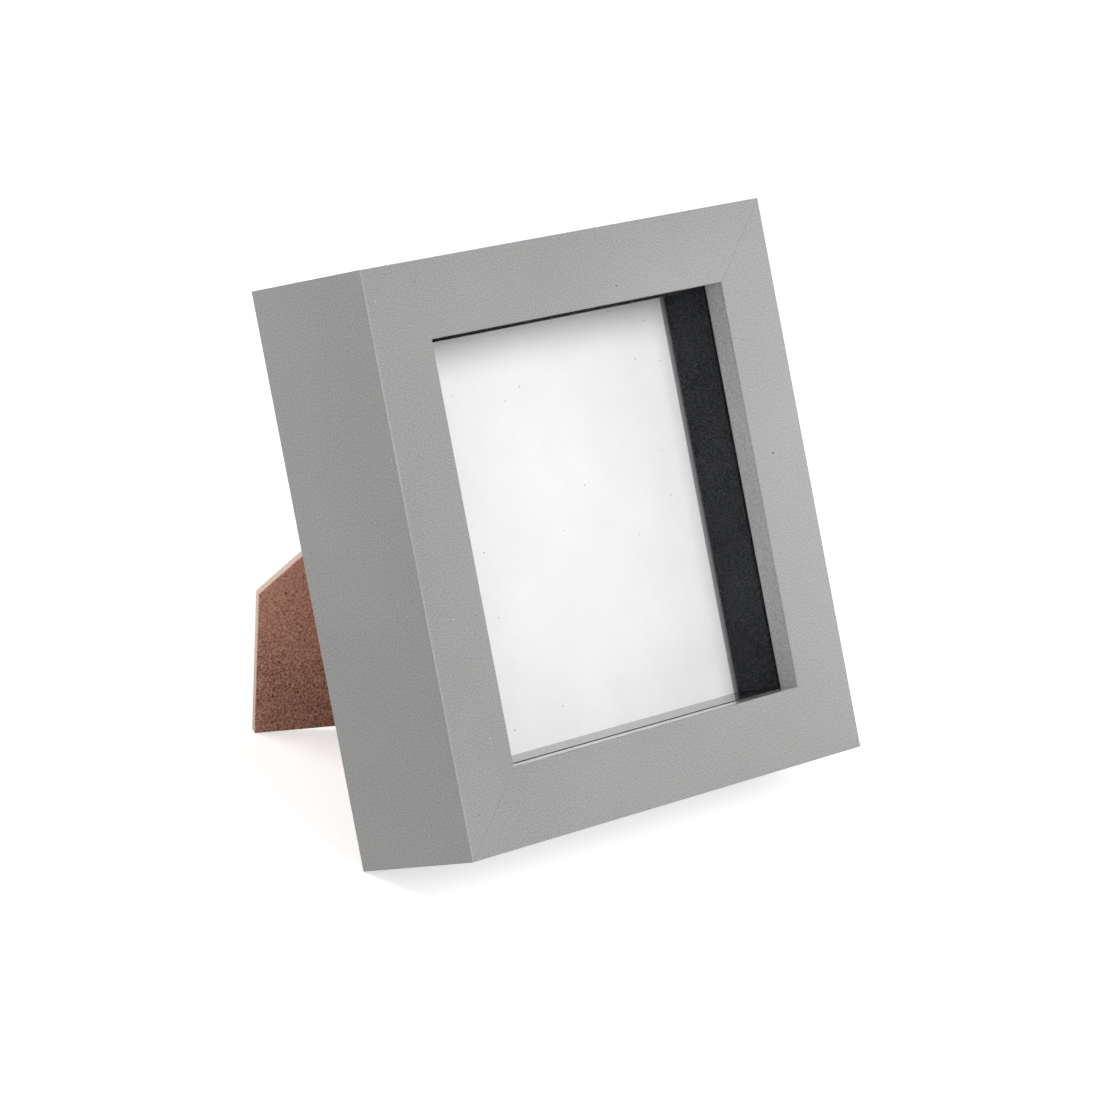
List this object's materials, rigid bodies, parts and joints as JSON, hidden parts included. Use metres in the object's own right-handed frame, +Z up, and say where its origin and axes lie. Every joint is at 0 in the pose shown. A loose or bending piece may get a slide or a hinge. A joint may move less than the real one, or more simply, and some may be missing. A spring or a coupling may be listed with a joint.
{
  "type": "shadow box frame",
  "caption": "Small square shadow box frame in grey with mitred rails, a pane, a dark spacer, a white insert, a lift-out back with turn buttons and a folding diagonal easel leg.",
  "frame": {"origin": "middle of the footprint on the surface that the frame stands on", "axes": "+Z up, +Y from the glazed front to the easel leg behind, +X to the right seen from the front"},
  "size_m": [0.133, 0.1034, 0.1351],
  "materials": {
    "foil_rail": "grey satin foil over fibreboard",
    "zinc_steel": "zinc plated pressed steel",
    "screw_steel": "dark plated steel",
    "clear_glass": "clear float glass",
    "black_spacer": "matt black paper wrapped strip",
    "white_card": "smooth white card",
    "hardboard": "smooth brown hardboard with pale sawn edges"
  },
  "bodies": {
    "frame": {"rail_bottom": "foil_rail", "rail_left": "foil_rail", "rail_top": "foil_rail", "rail_right": "foil_rail", "corner_nail_bottom_right": "zinc_steel", "corner_nail_bottom_left": "zinc_steel", "corner_nail_top_left": "zinc_steel", "corner_nail_top_right": "zinc_steel", "button_screw_bottom": "screw_steel", "button_screw_left": "screw_steel", "button_screw_top": "screw_steel", "button_screw_right": "screw_steel", "glass_pane": "clear_glass", "spacer_bottom": "black_spacer", "spacer_left": "black_spacer", "spacer_top": "black_spacer", "spacer_right": "black_spacer", "insert_card": "white_card", "back_board": "hardboard", "hinge_board_leaf": "zinc_steel", "hinge_pin": "screw_steel", "board_rivet_upper": "zinc_steel", "board_rivet_lower": "zinc_steel", "hanger_plate": "zinc_steel", "hanger_rivet": "zinc_steel"},
    "leg": {"strut_leg": "hardboard", "hinge_leg_leaf": "zinc_steel", "leg_rivet_upper": "zinc_steel", "leg_rivet_lower": "zinc_steel"},
    "button_bottom": {"turn_button_bottom": "zinc_steel"},
    "button_left": {"turn_button_left": "zinc_steel"},
    "button_top": {"turn_button_top": "zinc_steel"},
    "button_right": {"turn_button_right": "zinc_steel"},
    "ring": {"hanger_ring": "zinc_steel"}
  },
  "joints": [
    {"name": "leg_fold", "type": "hinge", "parent": "frame", "child": "leg", "pos_m": [0.02928, 0.01516, 0.08977], "axis": [0.7071, -0.3156, -0.6328], "range_deg": [-38, 0]},
    {"name": "button_bottom_turn", "type": "hinge", "parent": "frame", "child": "button_bottom", "pos_m": [0.022, -0.02431, 0.01444], "axis": [0, 0.8949, -0.4463], "range_deg": [-90, 90]},
    {"name": "button_left_turn", "type": "hinge", "parent": "frame", "child": "button_left", "pos_m": [-0.05575, 0.01039, 0.08402], "axis": [0, 0.8949, -0.4463], "range_deg": [-90, 90]},
    {"name": "button_top_turn", "type": "hinge", "parent": "frame", "child": "button_top", "pos_m": [-0.022, 0.02545, 0.11422], "axis": [0, 0.8949, -0.4463], "range_deg": [-90, 90]},
    {"name": "button_right_turn", "type": "hinge", "parent": "frame", "child": "button_right", "pos_m": [0.05575, -0.00925, 0.04464], "axis": [0, 0.8949, -0.4463], "range_deg": [-90, 90]},
    {"name": "ring_swing", "type": "hinge", "parent": "frame", "child": "ring", "pos_m": [0, 0.02275, 0.10635], "axis": [1, 0, 0], "range_deg": [-26, 152]}
  ]
}
